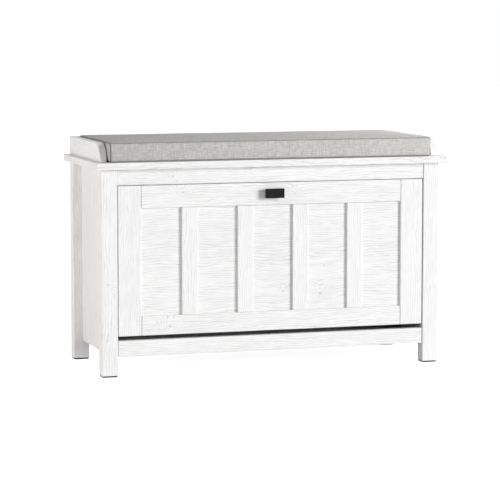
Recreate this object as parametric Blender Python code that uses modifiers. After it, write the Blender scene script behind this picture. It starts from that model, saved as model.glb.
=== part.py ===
"""Entry bench: a case on four legs with a cushioned seat and one flip-down shoe drawer.

The bench stands on the floor at Z = 0 with its front towards -Y and is centred on X = 0.
Sizes are in metres, written as millimetres times MM. The flip drawer turns about an axis
along X: its pieces hang on the empty flip_drawer_pivot, which lies on that axis.
"""
import math

import bmesh
import bpy
from mathutils import Matrix, Vector

MM = 0.001

# Gap between two pieces that touch
FIT = 0.3 * MM
# How far a cutter reaches past the face that it enters
CUTTER_EXTRA = 1 * MM
MERGE_DISTANCE = 0.01 * MM
SMOOTH_ANGLE = math.radians(35)
# Bevel profile of a round edge
ROUND_PROFILE = 0.5
SIDES = ((-1, "left"), (1, "right"))

# Case
TOP_LENGTH = 800 * MM
CASE_DEPTH = 300 * MM
CASE_HEIGHT = 449 * MM
BOARD = 15 * MM
TOP_END_OVERHANG = 14 * MM
TOP_FRONT_OVERHANG = 18 * MM
LEG_WIDTH = 35 * MM
LEG_DEPTH = 30 * MM
SIDE_PANEL_GROUND = 43 * MM
RAIL_SETBACK = 2 * MM
TOP_RAIL_HEIGHT = 34.7 * MM
BOTTOM_RAIL_GROUND = 44 * MM
BOTTOM_RAIL_HEIGHT = 34.3 * MM
RAIL_END_GAP = 1.2 * MM
BACK_RAIL_INSET = 3 * MM
BACK_PANEL = 4 * MM
BACK_PANEL_EDGE = 0.5 * MM
GROOVE_DEPTH = 6.5 * MM
PANEL_PLAY = 0.5 * MM
BOTTOM_PANEL_DROP = 12.5 * MM
EDGE = 0.8 * MM

# Foot pads
FOOT_HEIGHT = 3 * MM
FOOT_INSET = 1 * MM
FOOT_CHAMFER = 1 * MM
FOOT_PLUG_RADIUS = 3.5 * MM
FOOT_PLUG_LENGTH = 10 * MM
FOOT_PLUG_ROOT = 2 * MM

# Guard rail round three sides of the seat
GUARD_HEIGHT = 40 * MM
GUARD_CORNER_RADIUS = 38 * MM
GUARD_SETBACK = 10 * MM
GUARD_CORNER_STEPS = 10

# Seat cushion
CUSHION_HEIGHT = 43.5 * MM
CUSHION_CROWN = 6 * MM
# The higher the power, the flatter the middle of the crown
CUSHION_CROWN_POWER = 4
CUSHION_GAP = 4 * MM
CUSHION_OVERHANG = 10 * MM
CUSHION_DRAW_IN = 3 * MM
CUSHION_SWELL = 1.5 * MM
CUSHION_EDGE = 6 * MM
CUSHION_SHOULDER = 32 * MM
CUSHION_LONG_STEPS = 6
CUSHION_DEEP_STEPS = 3

# Front of the flip drawer
DOOR_TOP_GAP = 1.3 * MM
DOOR_SIDE_GAP = 2.1 * MM
DOOR_PANEL = 9 * MM
FACING = 6 * MM
FACING_EDGE = 1 * MM
BATTEN_EDGE = 0.5 * MM
STILE_WIDTH = 51 * MM
STILE_JOINT = 0.8 * MM
DOOR_TOP_RAIL_HEIGHT = 49 * MM
DOOR_BOTTOM_RAIL_HEIGHT = 42.3 * MM
BATTEN_WIDTH = 35 * MM
BATTEN_COUNT = 4

# Knob
KNOB_REACH = 16 * MM
KNOB_LENGTH = 42 * MM
KNOB_HEIGHT = 20.5 * MM
KNOB_PLATE = 8 * MM
KNOB_EDGE = 0.8 * MM
KNOB_DROP = 23 * MM
KNOB_FLARE_RADIUS = 8 * MM
KNOB_FLARE = 2 * MM
KNOB_NECK_RADIUS = 5.5 * MM
KNOB_SCREW_RADIUS = 2 * MM
KNOB_SCREW_BITE = 4 * MM

# Flip mechanism
PIVOT_SETBACK = 22 * MM
PIVOT_RISE = 30 * MM
PIVOT_RADIUS = 3.5 * MM
PIVOT_HUB_RADIUS = 6.4 * MM
SWING_CLEARANCE = 2.5 * MM
OPEN_ANGLE = math.radians(48)
STOP_RADIUS = 3 * MM
STOP_DISTANCE = 62 * MM
STOP_ANGLE = math.radians(75)
STOP_HEAD_RADIUS = 5 * MM
PIN_HEAD = 2 * MM
PIN_BITE = 8 * MM
PIN_CHAMFER = 0.5 * MM
PLATE = 1.5 * MM
PLATE_MARGIN = 11 * MM
PLATE_TAIL = 26 * MM
PLATE_CORNER = 5 * MM
PLATE_CORNER_STEPS = 3

# Drawer brackets and shelves
BRACKET_RUN_GAP = 1.7 * MM
BRACKET_WIDTH = 11 * MM
BRACKET_WEB = 3 * MM
BRACKET_RIM = 3 * MM
BRACKET_RELIEF = 0.5 * MM
BRACKET_FOOT = 1 * MM
BRACKET_BACK_CLEARANCE = 28 * MM
BRACKET_TOP_CLEARANCE = 19 * MM
BRACKET_CROWN_CUT = 15 * MM
BRACKET_ARC_STEPS = 12
FLANGE_REACH = 11 * MM
FLANGE_END = 2 * MM
HUB_PROUD = 0.4 * MM
SLOT_BOSS = 4 * MM
SLOT_WALL = 3.2 * MM
SLOT_STEPS = 12
SLOT_CAP_STEPS = 6
SHELF = 9 * MM
SHELF_SPACING = 150 * MM

# Fasteners
DOWEL_RADIUS = 3 * MM
DOWEL_REACH = 12 * MM
DOWEL_ROOT = 3 * MM
DOWEL_SIDES = 8
RAIL_DOWEL_FIRST = 8 * MM
RAIL_DOWEL_STEP = 14 * MM
RAIL_DOWEL_COUNT = 2
PANEL_DOWEL_INSET = 40 * MM
GUARD_DOWEL_INSET = 45 * MM
BACK_GUARD_DOWEL_INSET = 60 * MM
BOTTOM_DOWEL_INSET = 20 * MM
CAM_RADIUS = 7.5 * MM
CAM_THICKNESS = 12 * MM
CAM_SIDES = 16
CAM_SETBACK = 24 * MM
CAM_INSET = 50 * MM
CAM_KEY_RADIUS = 2.8 * MM
CAM_KEY_DEPTH = 2.5 * MM
CAM_KEY_SIDES = 6
BOLT_RADIUS = 3.2 * MM
BOLT_ROOT = 3 * MM
BOLT_THREAD_RADIUS = 2.5 * MM
BOLT_THREAD = 9.5 * MM
BOLT_HOLE_PLAY = 0.6 * MM
SCREW_RADIUS = 1.75 * MM
SCREW_HEAD_RADIUS = 3.4 * MM
SCREW_HEAD = 2 * MM
SCREW_BITE = 7 * MM
PLATE_SCREW_HEAD = 1.2 * MM
PLATE_SCREW_RISE = 4 * MM
PLATE_SCREW_STEP = 46 * MM
PLATE_SCREW_COUNT = 2
FLANGE_SCREW_RISE = 30 * MM
FLANGE_SCREW_STEP = 85 * MM
FLANGE_SCREW_COUNT = 3
ROUND_STEPS = 20
SMALL_STEPS = 10

# Places that follow from the sizes
LEG_OUTER_X = TOP_LENGTH / 2 - TOP_END_OVERHANG
LEG_INNER_X = LEG_OUTER_X - LEG_WIDTH
FRONT_REACH = max(KNOB_REACH - RAIL_SETBACK, TOP_FRONT_OVERHANG)
CASE_FRONT_Y = -(CASE_DEPTH - FRONT_REACH) / 2
CASE_BACK_Y = CASE_FRONT_Y + CASE_DEPTH
LEG_ENDS = {
    "front": (CASE_FRONT_Y, CASE_FRONT_Y + LEG_DEPTH),
    "back": (CASE_BACK_Y - LEG_DEPTH, CASE_BACK_Y),
}
SIDE_PANEL_FRONT_Y = CASE_FRONT_Y + LEG_DEPTH
SIDE_PANEL_BACK_Y = CASE_BACK_Y - LEG_DEPTH
DOOR_FRONT_Y = CASE_FRONT_Y + RAIL_SETBACK
DOOR_BACK_Y = DOOR_FRONT_Y + FACING + DOOR_PANEL
BACK_RAIL_FRONT_Y = CASE_BACK_Y - BACK_RAIL_INSET - BOARD
BACK_PANEL_Y = BACK_RAIL_FRONT_Y + BOARD / 2
TOP_RAIL_LOW_Z = CASE_HEIGHT - TOP_RAIL_HEIGHT
BOTTOM_RAIL_TOP_Z = BOTTOM_RAIL_GROUND + BOTTOM_RAIL_HEIGHT
SEAT_Z = CASE_HEIGHT + BOARD
GUARD_TOP_Z = SEAT_Z + GUARD_HEIGHT
GUARD_INNER_X = LEG_OUTER_X - BOARD
GUARD_INNER_Y = CASE_BACK_Y - BOARD
GUARD_FRONT_Y = CASE_FRONT_Y + GUARD_SETBACK
BOTTOM_PANEL_TOP_Z = BOTTOM_RAIL_TOP_Z - BOTTOM_PANEL_DROP

# The lower front corner swings on a circle, so the gap under the door clears its lowest point
DOOR_BOTTOM_GAP = math.hypot(PIVOT_SETBACK, PIVOT_RISE) - PIVOT_RISE + SWING_CLEARANCE
DOOR_LOW_Z = BOTTOM_RAIL_TOP_Z + DOOR_BOTTOM_GAP
DOOR_TOP_Z = TOP_RAIL_LOW_Z - DOOR_TOP_GAP
DOOR_X = LEG_INNER_X - DOOR_SIDE_GAP
STILE_INNER_X = DOOR_X - STILE_WIDTH
PIVOT = Vector((0, DOOR_FRONT_Y + PIVOT_SETBACK, DOOR_LOW_Z + PIVOT_RISE))
KNOB_Z = DOOR_TOP_Z - KNOB_DROP

# The brackets, measured from the pivot
PLATE_INNER_X = LEG_INNER_X - FIT - PLATE
BRACKET_OUTER_X = PLATE_INNER_X - BRACKET_RUN_GAP
BRACKET_INNER_X = BRACKET_OUTER_X - BRACKET_WIDTH
WEB_INNER_X = BRACKET_OUTER_X - BRACKET_WEB
FLANGE_FRONT = DOOR_BACK_Y + FIT - PIVOT.y
FLANGE_BACK = FLANGE_FRONT + BRACKET_RIM
BRACKET_FRONT = FLANGE_FRONT + BRACKET_RELIEF
BRACKET_BACK = BACK_RAIL_FRONT_Y - BRACKET_BACK_CLEARANCE - PIVOT.y
BRACKET_LOW = BRACKET_FOOT - PIVOT_RISE
BRACKET_RADIUS = TOP_RAIL_LOW_Z - PIVOT.z - BRACKET_TOP_CLEARANCE
BRACKET_TOP = BRACKET_RADIUS - BRACKET_CROWN_CUT
POCKET_FRONT = BRACKET_FRONT + BRACKET_RIM
POCKET_BACK = BRACKET_BACK - BRACKET_RIM
LOWER_SHELF_LOW = BRACKET_LOW + BRACKET_RIM + FIT
SHELF_LOWS = {"lower": LOWER_SHELF_LOW, "upper": LOWER_SHELF_LOW + SHELF_SPACING}
STOP_PLACE = (STOP_DISTANCE * math.cos(STOP_ANGLE), STOP_DISTANCE * math.sin(STOP_ANGLE))
FLANGE_SCREW_X = BRACKET_INNER_X - FLANGE_REACH / 2
PLATE_SCREW_Y = STOP_PLACE[0] + PLATE_TAIL - PLATE_MARGIN

# Holes to drill, by piece and stage, and the dowels glued into each piece
BORES = {}
DOWELS = {}


def new_collection(name):
    """A collection linked to the scene."""
    collection = bpy.data.collections.new(name)
    bpy.context.scene.collection.children.link(collection)
    return collection


def new_material(name, color, roughness, metallic=0.0):
    """A Principled BSDF with one colour, roughness and metallic value."""
    material = bpy.data.materials.new(name)
    material.use_nodes = True
    shader = material.node_tree.nodes["Principled BSDF"]
    shader.inputs["Base Color"].default_value = (*color, 1)
    shader.inputs["Roughness"].default_value = roughness
    shader.inputs["Metallic"].default_value = metallic
    material.diffuse_color = (*color, 1)
    return material


for old in list(bpy.data.objects):
    bpy.data.objects.remove(old)

PARTS = new_collection("entry_bench")
CUTTERS = new_collection("entry_bench_cutters")

WHITE_OAK = new_material("white_oak", (0.86, 0.855, 0.84), 0.5)
WHITE_BOARD = new_material("white_board", (0.80, 0.79, 0.77), 0.6)
LINEN = new_material("linen", (0.55, 0.54, 0.52), 0.95)
BLACK_METAL = new_material("black_metal", (0.02, 0.02, 0.021), 0.45)
BLACK_PLASTIC = new_material("black_plastic", (0.018, 0.018, 0.018), 0.55)
ZINC = new_material("zinc", (0.62, 0.62, 0.60), 0.35, 1.0)


def add_object(name, mesh, location, collection):
    """An object that shows a mesh at a place."""
    item = bpy.data.objects.new(name, mesh)
    item.location = location
    collection.objects.link(item)
    return item


def add_part(name, mesh, material, location=(0, 0, 0), rounded=False):
    """A named piece of the bench with its own material."""
    mesh.materials.clear()
    mesh.materials.append(material)
    if rounded:
        mesh.shade_smooth()
        mesh.set_sharp_from_angle(angle=SMOOTH_ANGLE)
    return add_object(name, mesh, location, PARTS)


def add_cutter(name, mesh, location=(0, 0, 0)):
    """A wire-only shape that cuts or joins a piece."""
    cutter = add_object(name, mesh, location, CUTTERS)
    cutter.hide_render = True
    cutter.display_type = "WIRE"
    return cutter


def hang_on_pivot(part, pivot):
    """Parent a piece of the drawer to the pivot without moving it."""
    part.location = part.location - pivot.location
    part.parent = pivot


def mesh_from(bm, name):
    """Close a bmesh into a new mesh."""
    mesh = bpy.data.meshes.new(name)
    bm.to_mesh(mesh)
    bm.free()
    return mesh


def box_bmesh(size):
    """A box centred on the origin."""
    bm = bmesh.new()
    bmesh.ops.create_cube(bm, size=1)
    bmesh.ops.scale(bm, vec=size, verts=bm.verts)
    return bm


def round_edges(bm, edges, radius, steps):
    """Round some edges of a bmesh."""
    bmesh.ops.bevel(
        bm,
        geom=edges,
        offset=radius,
        offset_type="OFFSET",
        segments=steps,
        profile=ROUND_PROFILE,
        affect="EDGES",
    )


def box_cutter(name, low, high):
    """A cutter box between two corners."""
    low, high = Vector(low), Vector(high)
    return add_cutter(name, mesh_from(box_bmesh(high - low), name), (low + high) / 2)


def soften(part, width, segments=1):
    """Round the sharp edges of a piece."""
    bevel = part.modifiers.new("edges", "BEVEL")
    bevel.width = width
    bevel.segments = segments
    bevel.limit_method = "ANGLE"


def board(name, low, high, material, edge=EDGE):
    """A board between two corners, with its edges broken."""
    low, high = Vector(low), Vector(high)
    part = add_part(name, mesh_from(box_bmesh(high - low), name), material, (low + high) / 2)
    soften(part, edge)
    return part


def combine(part, tool, operation="DIFFERENCE"):
    """Cut a piece by a tool, or join the tool to it."""
    boolean = part.modifiers.new(tool.name, "BOOLEAN")
    boolean.object = tool
    boolean.operation = operation
    boolean.solver = "EXACT"


def mirrored(side, inner, outer):
    """The low and high X of a piece between two distances from the middle."""
    return sorted((side * inner, side * outer))


def towards(direction):
    """The turn that takes +Z to a direction."""
    return Vector(direction).to_track_quat("Z", "Y").to_matrix().to_4x4()


def cylinder(bm, start, direction, length, radius, sides):
    """Add a capped cylinder that starts at a point and runs along a direction."""
    direction = Vector(direction)
    place = Matrix.Translation(Vector(start) + direction * length / 2) @ towards(direction)
    bmesh.ops.create_cone(
        bm, cap_ends=True, segments=sides, radius1=radius, radius2=radius, depth=length, matrix=place
    )


def drill(name, mouth, inward, radius, depth, sides=DOWEL_SIDES, stage="bores"):
    """Note a hole: its mouth, the way it runs into the piece, and its size."""
    hole = (Vector(mouth), Vector(inward), radius, depth, sides)
    BORES.setdefault((name, stage), []).append(hole)


def dowel(owner, mate, point, direction):
    """Note a dowel that is glued into its owner and stands out into a hole in the mate."""
    point, direction = Vector(point), Vector(direction)
    DOWELS.setdefault(owner, []).append((point, direction))
    drill(mate, point, direction, DOWEL_RADIUS + FIT, DOWEL_REACH + FIT)


def glue_dowels():
    """Join all noted dowels to their owners."""
    for name, dowels in DOWELS.items():
        bm = bmesh.new()
        for point, direction in dowels:
            start = point - direction * DOWEL_ROOT
            cylinder(bm, start, direction, DOWEL_ROOT + DOWEL_REACH, DOWEL_RADIUS, DOWEL_SIDES)
        label = name + "_dowels"
        combine(bpy.data.objects[name], add_cutter(label, mesh_from(bm, label)), "UNION")


def cut_bores():
    """Cut all noted holes, one cutter for each piece and stage."""
    for (name, stage), holes in BORES.items():
        bm = bmesh.new()
        for mouth, inward, radius, depth, sides in holes:
            start = mouth - inward * CUTTER_EXTRA
            cylinder(bm, start, inward, depth + CUTTER_EXTRA, radius, sides)
        label = name + "_" + stage
        combine(bpy.data.objects[name], add_cutter(label, mesh_from(bm, label)))


def turned(profile, steps=ROUND_STEPS):
    """A mesh turned about Z from (radius, height) points that run from top to bottom."""
    bm = bmesh.new()
    points = [bm.verts.new((radius, 0, height)) for radius, height in profile]
    for upper, lower in zip(points, points[1:]):
        bm.edges.new((upper, lower))
    blank = add_object("profile", mesh_from(bm, "profile"), (0, 0, 0), CUTTERS)
    screw = blank.modifiers.new("turn", "SCREW")
    screw.steps = steps
    screw.render_steps = steps
    screw.use_merge_vertices = True
    screw.merge_threshold = MERGE_DISTANCE
    mesh = evaluated_mesh(blank)
    bpy.data.objects.remove(blank)
    return mesh


def evaluated_mesh(item):
    """The mesh that an object shows, with its loose caps welded."""
    bpy.context.view_layer.update()
    mesh = bpy.data.meshes.new_from_object(item.evaluated_get(bpy.context.evaluated_depsgraph_get()))
    bm = bmesh.new()
    bm.from_mesh(mesh)
    bmesh.ops.remove_doubles(bm, verts=bm.verts, dist=MERGE_DISTANCE)
    bm.to_mesh(mesh)
    bm.free()
    return mesh


def pin_profile(radius, length, head_radius=0.0, head=0.0):
    """A pin along Z: its shank starts at the origin, its head lies below it."""
    profile = [(0, length), (radius - PIN_CHAMFER, length), (radius, length - PIN_CHAMFER)]
    if head:
        return profile + [(radius, 0), (head_radius, 0), (head_radius, -head), (0, -head)]
    return profile + [(radius, 0), (0, 0)]


def place_turned(name, mesh, material, point, direction):
    """A turned piece whose own Z runs along a direction."""
    part = add_part(name, mesh, material, point, rounded=True)
    part.rotation_euler = towards(direction).to_euler()
    return part


def prism(name, outline, low_x, high_x):
    """A mesh made by extruding a flat (Y, Z) outline along X."""
    curve = bpy.data.curves.new(name, "CURVE")
    curve.dimensions = "2D"
    curve.fill_mode = "BOTH"
    curve.extrude = (high_x - low_x) / 2
    spline = curve.splines.new("POLY")
    spline.points.add(len(outline) - 1)
    for point, (y, z) in zip(spline.points, outline):
        point.co = (y, z, 0, 1)
    spline.use_cyclic_u = True
    drawn = add_object(name + "_outline", curve, (0, 0, 0), CUTTERS)
    mesh = evaluated_mesh(drawn)
    bpy.data.objects.remove(drawn)
    # The outline's x and y become Y and Z, and its thickness runs along X
    upright = Matrix(((0, 0, 1, 0), (1, 0, 0, 0), (0, 1, 0, 0), (0, 0, 0, 1)))
    mesh.transform(Matrix.Translation(((low_x + high_x) / 2, 0, 0)) @ upright)
    return mesh


def make_seat_board():
    """The seat board overhangs the front and both sides and is flush behind."""
    half = TOP_LENGTH / 2
    front = CASE_FRONT_Y - TOP_FRONT_OVERHANG
    board("seat_board", (-half, front, CASE_HEIGHT), (half, CASE_BACK_Y, SEAT_Z), WHITE_OAK)


def make_legs():
    """Four square legs, each on a black pad with a plug that goes up into the leg."""
    for side, word in SIDES:
        low_x, high_x = mirrored(side, LEG_INNER_X, LEG_OUTER_X)
        for end, (low_y, high_y) in LEG_ENDS.items():
            leg = f"leg_{end}_{word}"
            board(leg, (low_x, low_y, FOOT_HEIGHT), (high_x, high_y, CASE_HEIGHT - FIT), WHITE_OAK)
            low = (low_x + FOOT_INSET, low_y + FOOT_INSET, 0)
            high = (high_x - FOOT_INSET, high_y - FOOT_INSET, FOOT_HEIGHT - FIT)
            pad = board(f"foot_pad_{end}_{word}", low, high, BLACK_PLASTIC, FOOT_CHAMFER)
            middle = Vector(((low_x + high_x) / 2, (low_y + high_y) / 2, 0))
            bm = bmesh.new()
            root = middle + Vector((0, 0, FOOT_PLUG_ROOT))
            reach = FOOT_HEIGHT + FOOT_PLUG_LENGTH - FOOT_PLUG_ROOT
            cylinder(bm, root, (0, 0, 1), reach, FOOT_PLUG_RADIUS, SMALL_STEPS)
            plug = add_cutter(pad.name + "_plug", mesh_from(bm, "plug"))
            combine(pad, plug, "UNION")
            mouth = middle + Vector((0, 0, FOOT_HEIGHT))
            drill(leg, mouth, (0, 0, 1), FOOT_PLUG_RADIUS + FIT, FOOT_PLUG_LENGTH + FIT, SMALL_STEPS)
            top = middle + Vector((0, 0, CASE_HEIGHT))
            dowel(leg, "seat_board", top, (0, 0, 1))


def make_side_panels():
    """Side panels between the legs, flush with the legs' inner faces."""
    for side, word in SIDES:
        panel = f"side_panel_{word}"
        low_x, high_x = mirrored(side, LEG_INNER_X, LEG_INNER_X + BOARD)
        low = (low_x, SIDE_PANEL_FRONT_Y + FIT, SIDE_PANEL_GROUND)
        high = (high_x, SIDE_PANEL_BACK_Y - FIT, CASE_HEIGHT - FIT)
        board(panel, low, high, WHITE_OAK)
        middle_x = (low_x + high_x) / 2
        heights = (SIDE_PANEL_GROUND + PANEL_DOWEL_INSET, CASE_HEIGHT - PANEL_DOWEL_INSET)
        for height in heights:
            dowel(panel, f"leg_front_{word}", (middle_x, SIDE_PANEL_FRONT_Y, height), (0, -1, 0))
            dowel(panel, f"leg_back_{word}", (middle_x, SIDE_PANEL_BACK_Y, height), (0, 1, 0))


def make_rails():
    """Rails between the legs: flush with the drawer's face in front, inset behind."""
    front = (DOOR_FRONT_Y, DOOR_FRONT_Y + BOARD)
    back = (BACK_RAIL_FRONT_Y, BACK_RAIL_FRONT_Y + BOARD)
    top = (TOP_RAIL_LOW_Z, CASE_HEIGHT - FIT)
    bottom = (BOTTOM_RAIL_GROUND, BOTTOM_RAIL_TOP_Z)
    for end, (low_y, high_y) in (("front", front), ("back", back)):
        for level, (low_z, high_z) in (("top", top), ("bottom", bottom)):
            rail = f"{end}_{level}_rail"
            reach = LEG_INNER_X - (FIT if level == "top" else RAIL_END_GAP)
            board(rail, (-reach, low_y, low_z), (reach, high_y, high_z), WHITE_OAK)
            middle_y = (low_y + high_y) / 2
            for step in range(RAIL_DOWEL_COUNT):
                rise = RAIL_DOWEL_FIRST + step * RAIL_DOWEL_STEP
                height = high_z - rise if level == "top" else low_z + rise
                for side, word in SIDES:
                    joint = (side * LEG_INNER_X, middle_y, height)
                    dowel(rail, f"leg_{end}_{word}", joint, (side, 0, 0))


def make_back_panel():
    """A thin panel in grooves of the back legs and rails."""
    tongue = GROOVE_DEPTH - PANEL_PLAY
    half = BACK_PANEL / 2
    low = (-LEG_INNER_X - tongue, BACK_PANEL_Y - half, BOTTOM_RAIL_TOP_Z - tongue)
    high = (LEG_INNER_X + tongue, BACK_PANEL_Y + half, TOP_RAIL_LOW_Z + tongue)
    board("back_panel", low, high, WHITE_BOARD, BACK_PANEL_EDGE)
    groove = half + FIT
    low_z, high_z = BOTTOM_RAIL_TOP_Z - GROOVE_DEPTH, TOP_RAIL_LOW_Z + GROOVE_DEPTH
    reach = LEG_INNER_X + GROOVE_DEPTH
    low = (-reach, BACK_PANEL_Y - groove, low_z)
    high = (reach, BACK_PANEL_Y + groove, high_z)
    cutter = box_cutter("back_panel_groove", low, high)
    for name in ("leg_back_left", "leg_back_right", "back_top_rail", "back_bottom_rail"):
        combine(bpy.data.objects[name], cutter)


def make_bottom_panel():
    """The floor of the case, between the side panels and the two bottom rails."""
    reach = LEG_INNER_X - FIT
    low_z = BOTTOM_PANEL_TOP_Z - BOARD
    low = (-reach, DOOR_FRONT_Y + BOARD + FIT, low_z)
    high = (reach, BACK_RAIL_FRONT_Y - FIT, BOTTOM_PANEL_TOP_Z)
    board("bottom_panel", low, high, WHITE_BOARD)
    for side, word in SIDES:
        panel = f"side_panel_{word}"
        wall_x = side * LEG_INNER_X
        for y in (SIDE_PANEL_FRONT_Y + BOTTOM_DOWEL_INSET, SIDE_PANEL_BACK_Y - BOTTOM_DOWEL_INSET):
            dowel("bottom_panel", panel, (wall_x, y, low_z + BOARD / 2), (side, 0, 0))


def make_guard_rails():
    """Low rails on three sides of the seat; the side ones have a round front corner."""
    low_z = SEAT_Z + FIT
    for side, word in SIDES:
        name = f"guard_rail_{word}"
        low_x, high_x = mirrored(side, GUARD_INNER_X, LEG_OUTER_X)
        low = Vector((low_x, GUARD_FRONT_Y, low_z))
        high = Vector((high_x, CASE_BACK_Y, GUARD_TOP_Z))
        bm = box_bmesh(high - low)
        corner = [edge for edge in bm.edges if all(v.co.y < 0 < v.co.z for v in edge.verts)]
        round_edges(bm, corner, GUARD_CORNER_RADIUS, GUARD_CORNER_STEPS)
        rail = add_part(name, mesh_from(bm, name), WHITE_OAK, (low + high) / 2, rounded=True)
        soften(rail, EDGE)
        for y in (GUARD_FRONT_Y + GUARD_DOWEL_INSET, CASE_BACK_Y - GUARD_DOWEL_INSET):
            dowel(name, "seat_board", ((low_x + high_x) / 2, y, SEAT_Z), (0, 0, -1))
    reach = GUARD_INNER_X - FIT
    low = (-reach, GUARD_INNER_Y, low_z)
    board("guard_rail_back", low, (reach, CASE_BACK_Y, GUARD_TOP_Z), WHITE_OAK)
    for x in (BACK_GUARD_DOWEL_INSET - reach, 0, reach - BACK_GUARD_DOWEL_INSET):
        dowel("guard_rail_back", "seat_board", (x, CASE_BACK_Y - BOARD / 2, SEAT_Z), (0, 0, -1))


def cage_cuts(half, steps):
    """Places of the cushion cage's cuts along one side: close to the ends, even between them."""
    inner = half - CUSHION_SHOULDER
    even = [inner * (2 * index / steps - 1) for index in range(steps + 1)]
    return [CUSHION_EDGE - half] + even + [half - CUSHION_EDGE]


def make_cushion():
    """A box cushion: flat below, crowned on top, its walls drawn in between the corners."""
    reach = GUARD_INNER_X - CUSHION_GAP
    low = Vector((-reach, CASE_FRONT_Y - CUSHION_OVERHANG, SEAT_Z + FIT))
    high = Vector((reach, GUARD_INNER_Y - CUSHION_GAP, SEAT_Z + CUSHION_HEIGHT))
    size = high - low
    half = size / 2
    bm = box_bmesh(size)
    cuts = (
        cage_cuts(half.x, CUSHION_LONG_STEPS),
        cage_cuts(half.y, CUSHION_DEEP_STEPS),
        (CUSHION_EDGE - half.z, 0, half.z - CUSHION_EDGE),
    )
    for axis, places in enumerate(cuts):
        normal = Vector((0, 0, 0))
        normal[axis] = 1
        for place in places:
            geometry = bm.verts[:] + bm.edges[:] + bm.faces[:]
            bmesh.ops.bisect_plane(bm, geom=geometry, plane_co=normal * place, plane_no=normal)
    for vert in bm.verts:
        u, v, w = vert.co.x / half.x, vert.co.y / half.y, vert.co.z / half.z
        wall = CUSHION_SWELL * (1 - w * w)
        vert.co.x -= u * (CUSHION_DRAW_IN * (1 - v * v) - wall)
        vert.co.y -= v * (CUSHION_DRAW_IN * (1 - u * u) - wall)
        if w > 0:
            across, along = (1 - abs(share) ** CUSHION_CROWN_POWER for share in (u, v))
            vert.co.z += w * CUSHION_CROWN * across * along
    cushion = add_part("seat_cushion", mesh_from(bm, "seat_cushion"), LINEN, (low + high) / 2, True)
    smooth = cushion.modifiers.new("padding", "SUBSURF")
    smooth.levels = 1
    smooth.render_levels = 1


def make_door():
    """The drawer's front: a base panel faced with stiles, rails and battens."""
    low = (-DOOR_X, DOOR_FRONT_Y + FACING + FIT, DOOR_LOW_Z)
    pieces = [board("door_panel", low, (DOOR_X, DOOR_BACK_Y, DOOR_TOP_Z), WHITE_OAK)]
    back_y = DOOR_FRONT_Y + FACING

    def facing(name, low_x, high_x, low_z, high_z, edge=FACING_EDGE):
        """A strip on the face of the base panel."""
        strip = board(name, (low_x, DOOR_FRONT_Y, low_z), (high_x, back_y, high_z), WHITE_OAK, edge)
        pieces.append(strip)

    for side, word in SIDES:
        low_x, high_x = mirrored(side, STILE_INNER_X, DOOR_X)
        facing(f"door_stile_{word}", low_x, high_x, DOOR_LOW_Z, DOOR_TOP_Z)
    reach = STILE_INNER_X - STILE_JOINT
    field_low = DOOR_LOW_Z + DOOR_BOTTOM_RAIL_HEIGHT
    field_top = DOOR_TOP_Z - DOOR_TOP_RAIL_HEIGHT
    facing("door_top_rail", -reach, reach, field_top, DOOR_TOP_Z)
    facing("door_bottom_rail", -reach, reach, DOOR_LOW_Z, field_low)
    space = (2 * STILE_INNER_X - BATTEN_COUNT * BATTEN_WIDTH) / (BATTEN_COUNT + 1)
    for index in range(BATTEN_COUNT):
        left = -STILE_INNER_X + space + index * (space + BATTEN_WIDTH)
        name = f"door_batten_{index + 1}"
        facing(name, left, left + BATTEN_WIDTH, field_low + FIT, field_top - FIT, BATTEN_EDGE)
    return pieces


def make_knob():
    """An oblong plate on a flared stem, held by one screw through the door."""
    front_y = DOOR_FRONT_Y - KNOB_REACH
    plate_back = front_y + KNOB_PLATE
    half_length, half_height = KNOB_LENGTH / 2, KNOB_HEIGHT / 2
    low = (-half_length, front_y, KNOB_Z - half_height)
    high = (half_length, plate_back, KNOB_Z + half_height)
    plate = board("knob_plate", low, high, BLACK_METAL, KNOB_EDGE)
    stem_length = DOOR_FRONT_Y - plate_back - 2 * FIT
    profile = [
        (0, stem_length),
        (KNOB_FLARE_RADIUS, stem_length),
        (KNOB_FLARE_RADIUS, stem_length - KNOB_FLARE / 2),
        (KNOB_NECK_RADIUS, stem_length - 2 * KNOB_FLARE),
        (KNOB_NECK_RADIUS, KNOB_FLARE),
        (KNOB_NECK_RADIUS + KNOB_FLARE / 2, 0),
        (0, 0),
    ]
    place = (0, plate_back + FIT, KNOB_Z)
    stem = place_turned("knob_stem", turned(profile), BLACK_METAL, place, (0, 1, 0))
    bore = KNOB_SCREW_RADIUS + FIT
    back = (0, DOOR_BACK_Y, KNOB_Z)
    for name in ("door_panel", "door_top_rail", "knob_stem"):
        drill(name, back, (0, -1, 0), bore, DOOR_BACK_Y - plate_back, SMALL_STEPS)
    drill("knob_plate", (0, plate_back, KNOB_Z), (0, -1, 0), bore, KNOB_SCREW_BITE + FIT, SMALL_STEPS)
    length = DOOR_BACK_Y - plate_back + KNOB_SCREW_BITE + FIT
    profile = pin_profile(KNOB_SCREW_RADIUS, length, 2 * KNOB_SCREW_RADIUS, SCREW_HEAD)
    place = (0, DOOR_BACK_Y + FIT, KNOB_Z)
    screw = place_turned("knob_screw", turned(profile, SMALL_STEPS), ZINC, place, (0, -1, 0))
    return [plate, stem, screw]


def fan_outline(front, back, low, top, radius):
    """A quarter fan about the pivot: straight front, foot and back, and an arc above."""
    start = max(math.acos(back / radius), math.asin(low / radius))
    end = math.asin(top / radius)
    outline = [(front, low)]
    if radius * math.sin(start) > low + FIT:
        outline.append((back, low))
    for step in range(BRACKET_ARC_STEPS + 1):
        angle = start + (end - start) * step / BRACKET_ARC_STEPS
        outline.append((radius * math.cos(angle), radius * math.sin(angle)))
    return outline + [(front, top)]


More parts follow.
